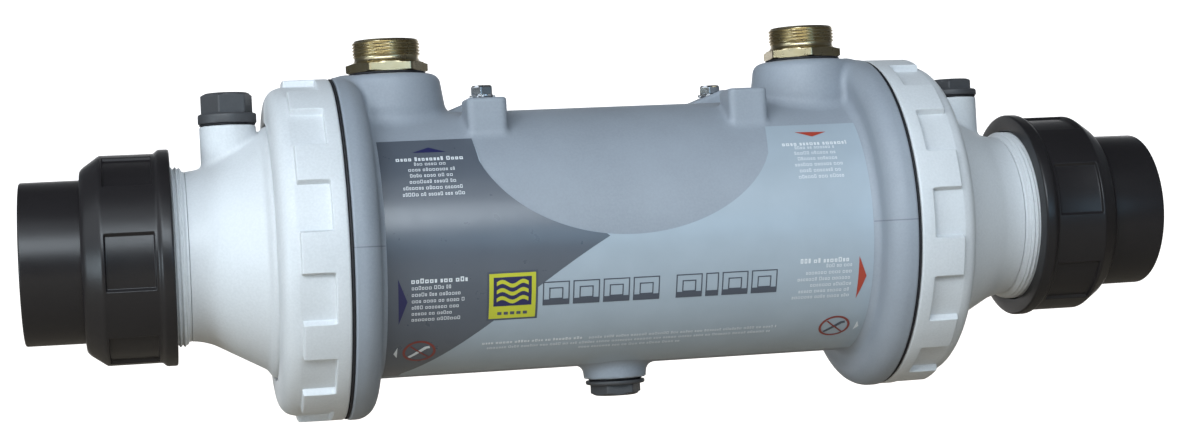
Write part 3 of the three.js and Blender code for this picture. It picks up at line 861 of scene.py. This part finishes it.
def union_nut(side_name):
    """The dark union nut: rim, grip panels sunk by turns, and a rounded nose."""
    start, end = outward(f"{side_name}_union_nut")
    rim, body, nose = UNION_NUT.rim, UNION_NUT.body, UNION_NUT.nose
    sunk, panels = UNION_NUT.sunk, UNION_NUT.panels
    inside = [(end, 39.1, 0.5), (243.8, 39.1, 0), (243.8, 43.3, 0), (start, 43.3, 0.6)]
    front = [(start, rim, 1.2), (216.3, rim, 1.0), (218.2, body, 0.8)]
    back = [(243.4, body, 1.4), (end - 1.4, nose + 0.9, 1.6), (end, nose - 0.9, 0.8)]

    def outline(face):
        grip = [(219.4, body, 0.3), (219.9, face, 0.3), (241.6, face, 0.3), (242.1, body, 0.3)]
        return softened(front + grip + back + inside)

    spacing = (UNION_NUT.first[side_name], panels, 180.0 / panels, UNION_NUT.flank)
    panelled(side_name, "union_nut", outline(body), outline(body - sunk), spacing)


def union_tail(side_name):
    """The socket that a pool pipe is glued into, with its collar in the nut."""
    face, end = outward(f"{side_name}_union_tail")
    radius, bore, socket = TAIL.radius, TAIL.bore, TAIL.socket
    floor = end - TAIL.socket_depth
    corners = [(face, 38.6, 0), (face, TAIL.collar, 0.6), (face + 5.6, TAIL.collar, 0.6)]
    corners += [(face + 5.6, radius + 0.05, 0.3), (face + 20.0, radius, 0), (end, radius - 0.1, 1.1)]
    corners += [(end, socket, 1.3), (floor, socket - 0.3, 0.4), (floor, bore, 0.4), (face, bore, 0.4)]
    corners += [(face, 35.4, 0), (face + 2.2, 35.4, 0), (face + 2.2, 38.6, 0)]
    place = about_x(SIDES[side_name])
    turned(f"{side_name}_tail", f"{side_name}_union_tail", place, softened(corners))


def round_ring(name, stands_for, place, centre_along, centre_radius, section):
    """An O-ring of round section."""
    turns = [math.radians(angle) for angle in range(0, 360, 30)]
    outline = [(centre_along + section * math.sin(t), centre_radius + section * math.cos(t)) for t in turns]
    turned(name, stands_for, place, outline)


VENT_PLUG = {"shank": 9.2, "flange": 13.85, "flats": 21.8, "length": 12.0}
VENT_HEAD = {"left": {"thick": 4.8, "hex": 9.8}, "right": {"thick": 3.2, "hex": 5.2}}
DRAIN_PLUG = Sizes(shank=10.0, flange=14.6, thick=2.0, flats=22.0, hex=5.4, length=12.0)
VENT_TURN = 11.0


def end_pieces(side_name):
    side = SIDES[side_name]
    place = about_x(side)
    spigot(side_name)
    start, end = outward(f"{side_name}_flange_gasket")
    corners = [(start, 75.6, 0), (start, 81.9, 0.3), (end, 81.9, 0.3), (end, 75.6, 0)]
    turned(f"{side_name}_gasket", f"{side_name}_flange_gasket", place, softened(corners, 2))
    ring_nut(side_name)
    cap_neck(side_name)
    union_nut(side_name)
    union_tail(side_name)
    for part, radius in (("cap", 72.4), ("union", 37.0)):
        ring = f"{side_name}_{part}_oring"
        round_ring(f"{ring}_piece", ring, place, sum(outward(ring)) / 2, radius, 1.0)
    seal, vent = f"{side_name}_vent_seal", f"{side_name}_vent_plug"
    x, low = middle(seal, 0), span(seal, 2)[0]
    flat_seal(f"{seal}_piece", seal, about_z(x, 0, low), 9.5, 13.3, 0.5, 0.15)
    plug(vent, Sizes(**VENT_PLUG, **VENT_HEAD[side_name]), VENT_TURN, 1)


# ---- the tube bundle


def tube(name):
    y, z = middle(name, 1), middle(name, 2)
    half = outward(name)[1]
    outline = [(-half, 7.0), (-half, 7.8), (-half + 0.2, 8.0)]
    outline += [(half - 0.2, 8.0), (half, 7.8), (half, 7.0)]

    def place(along, radius, angle):
        x, beside, above = about_x(1)(along, radius, angle)
        return (x, y + beside, z + above)

    turned(f"{name}_piece", name, place, outline, angles=all_round(32))


def tube_bundle():
    """Round steel tubes, and tooled metal for the plates and rods round them."""
    for name, slot in SLOT_OF.items():
        if slot == "tube_steel":
            tube(name)
    for name, part in frame["nodes"].items():
        if "tube_sheet" in name or name.startswith(("baffle", "tie_rod")):
            part.data.materials.clear()
            part.data.materials.append(MATERIALS[SLOT_OF[name]])


# ---- the label

LABEL = Sizes(left=-116.7, right=116.7, top=49.5, bottom=-75.5)
WINDOW = Sizes(angle=46.0, half_width=72.0, half_height=46.2)
FILM = Sizes(inner=63.64, outer=63.9, layer=0.05)
DEGREE = math.radians(1) * BARREL


def window_arc(x_from, x_to, count):
    """Points [x, angle] along the lower edge of the oval window."""
    points = []
    for step in range(count + 1):
        x = x_from + (x_to - x_from) * step / count
        drop = math.sqrt(max(0.0, 1 - (x / WINDOW.half_width) ** 2))
        points.append((x, WINDOW.angle - WINDOW.half_height * drop))
    return points


def print_piece(name, shapes, ink, low, high):
    """Flat shapes of [x, angle] points, rolled round the barrel as a thin skin."""
    work = bmesh.new()
    for shape in shapes:
        work.faces.new([work.verts.new((x, angle, 0)) for x, angle in shape])
    bmesh.ops.remove_doubles(work, verts=work.verts, dist=1e-4)
    bmesh.ops.triangulate(work, faces=work.faces)
    reach = [angle for shape in shapes for _, angle in shape]
    cuts = np.arange(LABEL.bottom + 1.5, LABEL.top, 1.5)
    for angle in cuts[(cuts > min(reach)) & (cuts < max(reach))]:
        cut = work.verts[:] + work.edges[:] + work.faces[:]
        bmesh.ops.bisect_plane(work, geom=cut, plane_co=(0, angle, 0), plane_no=(0, 1, 0))
    raised = bmesh.ops.extrude_face_region(work, geom=work.faces[:])
    for vert in raised["geom"]:
        if isinstance(vert, bmesh.types.BMVert):
            vert.co.z = 1
    place = about_x(1)
    for vert in work.verts:
        x, angle, lift = vert.co
        vert.co = place(x, high if lift > 0.5 else low, angle)
    bmesh.ops.recalc_face_normals(work, faces=work.faces)
    work.verts.index_update()
    points = [vert.co.copy() for vert in work.verts]
    faces = [[vert.index for vert in face.verts] for face in work.faces]
    work.free()
    make_piece(name, points, faces, "front_label", INKS[ink])


def printed(name, shapes, ink, layer):
    low = FILM.outer + FILM.layer * (layer - 1) + 0.01
    print_piece(name, shapes, ink, low, low + FILM.layer - 0.01)


def bar(x_from, x_to, angle, height):
    """A rectangle centred on an angle. The height is in millimetres."""
    half = height / 2 / DEGREE
    return [(x_from, angle - half), (x_to, angle - half), (x_to, angle + half), (x_from, angle + half)]


def frame_of(x_from, x_to, angle, height, line):
    """The outline of a rectangle, as four bars that meet edge to edge."""
    rise = (height - line) / 2 / DEGREE
    shapes = [bar(x_from, x_to, angle + rise, line), bar(x_from, x_to, angle - rise, line)]
    shapes.append(bar(x_from, x_from + line, angle, height - 2 * line))
    shapes.append(bar(x_to - line, x_to, angle, height - 2 * line))
    return shapes


def word_line(x_from, x_to, angle, height, line, seed):
    """A line of text stood in for by small empty boxes in word-like groups."""
    pick = random.Random(seed)
    shapes, x, left = [], x_from, pick.randint(3, 7)
    while x < x_to - height * 0.4:
        width = min(height * pick.choice((0.62, 0.8, 0.95)), x_to - x)
        tall = 1.35 if pick.random() < 0.2 else 1.0
        centre = angle + height * (tall - 1) / 2 / DEGREE
        shapes += frame_of(x, x + width, centre, height * tall, line)
        left -= 1
        x += width + height * (0.35 if left else 0.95)
        left = left or pick.randint(2, 8)
    return shapes


# name, seed, heading (from, to, angle), first line's angle, widths of the lines, share, x
TEXT_BLOCKS = (
    ("text_upper_left", 1, (-109, -77.2, 37.9), 35.3, (15.5, 21.5, 20.5, 21.5, 28, 29), 0.5, -93),
    ("text_lower_left", 11, (-105.9, -78.8, -15.5), -18.4, (18.5, 22.5, 25, 23, 18.5, 22.5), 0, -105.7),
    ("text_upper_right", 21, (77.1, 109.4, 37.4), 35.3, (20.5, 22, 20, 24, 20.5, 22.5), 0.5, 93.2),
    ("text_lower_right", 31, (80, 106.1, -16.0), -18.4, (13, 23, 27, 20.5, 26, 29), 1, 106),
)
ARROWS = {
    "arrow_up": ([(-100.8, 41.8), (-85.1, 41.6), (-93, 44.6)], "navy"),
    "arrow_in": ([(-112, -13.9), (-107.7, -24.1), (-111.7, -34.8)], "navy"),
    "arrow_down": ([(85.4, 44.6), (93.3, 41.6), (100.8, 44.2)], "red"),
    "arrow_out": ([(109.4, -14.7), (113.5, -23.9), (109.4, -34.8)], "red"),
    "tick_left": ([(-113.3, -52.1), (-111.6, -47.8), (-111.6, -54.9)], "white"),
    "tick_right": ([(112, -54.7), (114.4, -52.2), (113, -48.5)], "white"),
}
LINE_STEP = 2.9


def text_block(name, seed, heading, first, widths, share, x):
    """A bold heading over thinner lines. The share says which part of a line is at x."""
    shapes = word_line(*heading, 1.7, 0.5, seed)
    for row, width in enumerate(widths):
        start = x - width * share
        angle = first - LINE_STEP * row
        shapes += word_line(start, start + width, angle, 1.3, 0.25, seed + row + 1)
    printed(name, shapes, "white", 3)


def ring_mark(name, x, angle, ink):
    """A ring with a bar across it, over the plain shape of a hand tool."""
    outer, inner, shapes = 7.8, 6.6, []
    for step in range(32):
        turns = [math.radians(360.0 * (step + more) / 32) for more in (0, 1)]
        rim = [(outer, turns[0]), (outer, turns[1]), (inner, turns[1]), (inner, turns[0])]
        shapes.append([(x + r * math.cos(t), angle + r * math.sin(t) / DEGREE) for r, t in rim])
    printed(f"{name}_ring", shapes, "brown", 3)
    reach, half = 6.55 * math.sqrt(0.5), 0.55
    slash = [(-reach, reach - half), (-reach + half, reach), (reach, half - reach), (reach - half, -reach)]
    printed(f"{name}_bar", [[(x + u, angle + v / DEGREE) for u, v in slash]], "brown", 4)
    grip = [(-5.2, -3.6), (-4.2, -4.6), (3.6, 2.2), (5.0, 2.4), (4.6, 4.0), (2.4, 3.6)]
    printed(f"{name}_tool", [[(x + u, angle + v / DEGREE) for u, v in grip]], ink, 3)


def wave_band(x, angle, width, height, waves=1.5, count=16):
    """A wavy stripe."""
    top, low = [], []
    for step in range(count + 1):
        u = width * (step / count - 0.5)
        rise = height * 0.55 * math.sin(2 * math.pi * waves * step / count)
        top.append((x + u, angle + (rise + height / 2) / DEGREE))
        low.append((x + u, angle + (rise - height / 2) / DEGREE))
    return [[low[step], low[step + 1], top[step + 1], top[step]] for step in range(count)]


def water_tile():
    """A small square mark: three waves on a dark field in a yellow frame."""
    x_from, x_to, top, bottom = -70.8, -46.9, -13.0, -35.4
    x, angle = (x_from + x_to) / 2, (top + bottom) / 2
    height = (top - bottom) * DEGREE
    printed("tile_frame", [bar(x_from, x_to, angle, height)], "line", 2)
    printed("tile_field", [bar(x_from + 1, x_to - 1, angle, height - 2)], "yellow", 3)
    printed("tile_panel", [bar(x_from + 3, x_to - 3, angle + 2.2, height - 10.5)], "navy", 4)
    waves = []
    for row in (-1, 0, 1):
        waves += wave_band(x, angle + 2.2 + row * 3.6, x_to - x_from - 9, 1.9)
    printed("tile_waves", waves, "yellow", 5)
    foot = [bar(x_from + 5 + 3 * step, x_from + 7 + 3 * step, bottom + 3.4, 1.6) for step in range(5)]
    printed("tile_foot", foot, "line", 4)


def name_band():
    """A row of plain double-framed blocks in two groups, filled along their feet."""
    height, angle, line, inset = 11.9, -23.9, 0.55, 3.0
    frames, feet = [], []
    x = -44.6
    for index in range(9):
        if index == 4:
            x += 6.3
            continue
        width = 6.3 if index == 6 else 12.7
        end = x + width
        frames += frame_of(x, end, angle, height, line)
        if width > 4 * inset:
            frames += frame_of(x + inset, end - inset, angle, height - 2 * inset, line)
        feet.append(bar(x, end, angle - (height - inset) / 2 / DEGREE, inset))
        x = end + 1.7
    printed("band_outlines", frames, "line", 2)
    printed("band_feet", feet, "line", 3)


def label_fields():
    """The film, cut out round the oval window, and the dark field over its left part."""
    left, right, top, bottom = LABEL.left, LABEL.right, LABEL.top, LABEL.bottom
    reach = WINDOW.half_width * math.sqrt(1 - ((top - WINDOW.angle) / WINDOW.half_height) ** 2)
    arc = window_arc(-reach, reach, 60)
    arc[0], arc[-1] = (-reach, top), (reach, top)
    outline = [(left, top)] + arc + [(right, top), (right, bottom), (left, bottom)]
    print_piece("label_film", [outline], "light", FILM.inner, FILM.outer)
    bend = (-12.3, -107.7)
    drop = [bend[0] + (bend[1] - bend[0]) * step / 12 for step in range(13)]
    edge = [(x, -0.4 - (0.55 + 0.0029 * (bend[0] - x)) * (bend[0] - x) / DEGREE) for x in drop]
    corner = window_arc(-reach, bend[0], 40)
    corner[0] = (-reach, top)
    foot = (edge[-1][0] - 1.2, bottom)
    dark = [(left, top)] + corner[:-1] + edge + [foot, (left, bottom)]
    printed("label_dark_field", [dark], "dark", 1)


def label():
    """The film with its oval window, its dark field, and all that is printed on it."""
    label_fields()
    for block in TEXT_BLOCKS:
        text_block(*block)
    for name, (shape, ink) in ARROWS.items():
        printed(name, [shape], ink, 3)
    ring_mark("mark_left", -101.3, -51.4, "white")
    ring_mark("mark_right", 101.8, -51.4, "line")
    water_tile()
    name_band()
    small = word_line(-71.8, -23.0, -48.6, 1.3, 0.42, 51) + word_line(-20.5, 71.8, -48.8, 1.2, 0.25, 52)
    small += word_line(-69.2, 69.2, -51.9, 1.2, 0.25, 53) + word_line(-24.7, 24.7, -55.2, 1.2, 0.25, 54)
    printed("text_foot", small, "white", 3)


# ---- the stage

CAMERA = Sizes(
    place=(-0.22534, -1.05949, -0.00394), yaw=12.378, pitch=1.046, roll=-2.965,
    lens=66.636, shift=(-0.02503, -0.01471),
)


def camera():
    """Stands at the front, to the left, a little tilted, as a hand-held camera is."""
    data = bpy.data.cameras.new("camera")
    data.lens = CAMERA.lens
    data.shift_x, data.shift_y = CAMERA.shift
    data.clip_start, data.clip_end = 0.05, 30.0
    made = bpy.data.objects.new("camera", data)
    turn = Matrix.Identity(4)
    for axis, degrees in (("Z", -CAMERA.yaw), ("X", 90 + CAMERA.pitch), ("Z", CAMERA.roll)):
        turn = turn @ Matrix.Rotation(math.radians(degrees), 4, axis)
    made.matrix_world = Matrix.Translation(CAMERA.place) @ turn
    bpy.context.scene.collection.objects.link(made)
    bpy.context.scene.camera = made


def softbox(name, place, size, power, colour):
    """A rectangular light aimed at the middle of the heater."""
    data = bpy.data.lights.new(name, "AREA")
    data.shape = "RECTANGLE"
    data.size, data.size_y = size
    data.energy = power
    data.color = colour
    made = bpy.data.objects.new(name, data)
    made.location = place
    made.visible_camera = False
    made.rotation_euler = (-Vector(place)).to_track_quat("-Z", "Y").to_euler()
    bpy.context.scene.collection.objects.link(made)


def backdrop():
    """A pale floor running up into a round wall, in metres."""
    floor_z, radius, bend, height, sides = -0.45, 4.6, 1.0, 5.2, 96
    profile = [(0.0, floor_z), (radius - bend, floor_z)]
    for step in range(1, 9):
        turn = math.radians(90 * step / 8)
        rise = bend * (1 - math.cos(turn))
        profile.append((radius - bend + bend * math.sin(turn), floor_z + rise))
    profile.append((radius, height))
    points = [Vector((0, 0, floor_z))]
    for reach, z in profile[1:]:
        for side in range(sides):
            turn = 2 * math.pi * side / sides
            points.append(Vector((reach * math.cos(turn), reach * math.sin(turn), z)))
    faces = [(0, 1 + side, 1 + (side + 1) % sides) for side in range(sides)]
    for row in range(len(profile) - 2):
        here, above = 1 + row * sides, 1 + (row + 1) * sides
        for side in range(sides):
            after = (side + 1) % sides
            faces.append((here + side, above + side, above + after, here + after))
    mesh = bpy.data.meshes.new("studio_floor")
    mesh.from_pydata(points, [], faces)
    mesh.shade_smooth()
    mesh.materials.append(stage_paint("studio_paint", (0.50, 0.42, 0.33), (0.44, 0.46, 0.49), 1.8))
    floor = bpy.data.objects.new("studio_floor", mesh)
    bpy.context.scene.collection.objects.link(floor)


def studio():
    """Large soft boxes in front and to the left, and a dim air."""
    softbox("window_panel", (-0.60, -1.70, 0.80), (2.0, 0.66), 32.0, (0.82, 0.92, 1.0))
    softbox("upper_panel", (-0.5, -1.7, 1.7), (3.2, 1.3), 12.0, (0.87, 0.94, 1.0))
    softbox("side_panel", (-2.0, -0.8, 1.1), (1.8, 1.4), 10.0, (0.85, 0.93, 1.0))
    softbox("right_sky_panel", (0.55, -1.70, 0.12), (0.8, 0.5), 3.0, (0.45, 0.74, 1.0))
    softbox("left_fill_panel", (-1.5, -0.7, -0.10), (0.6, 0.4), 6.0, (0.75, 0.9, 1.0))
    world = bpy.data.worlds.new("studio_air")
    world.use_nodes = True
    air = world.node_tree.nodes["Background"]
    air.inputs["Color"].default_value = (0.80, 0.84, 0.90, 1.0)
    air.inputs["Strength"].default_value = 0.05
    bpy.context.scene.world = world
    bpy.context.scene.view_settings.view_transform = "Standard"


# ---- assembly


def main():
    shell_moulding()
    cap_mouldings()
    for side_name in SIDES:
        end_pieces(side_name)
    for name, corner_angle in (("boiler_outlet", 0.0), ("boiler_inlet", 27.0)):
        adaptor(name, corner_angle)
        seal = f"{name}_seal"
        low = span(seal, 2)[0]
        place = about_z(middle(seal, 0), 0, low)
        flat_seal(f"{seal}_piece", seal, place, 16.4, 18.6, span(seal, 2)[1] - low, 0.3)
    for name in ("front", "rear"):
        bolt_and_washer(name)
    top = span("drain_seal", 2)[0]
    flat_seal("drain_seal_piece", "drain_seal", about_z(0, 0, top, -1), 10.3, 13.1, 0.5, 0.15)
    plug("drain_plug", DRAIN_PLUG, 0.0, -1)
    tube_bundle()
    label()
    backdrop()
    studio()
    camera()


main()
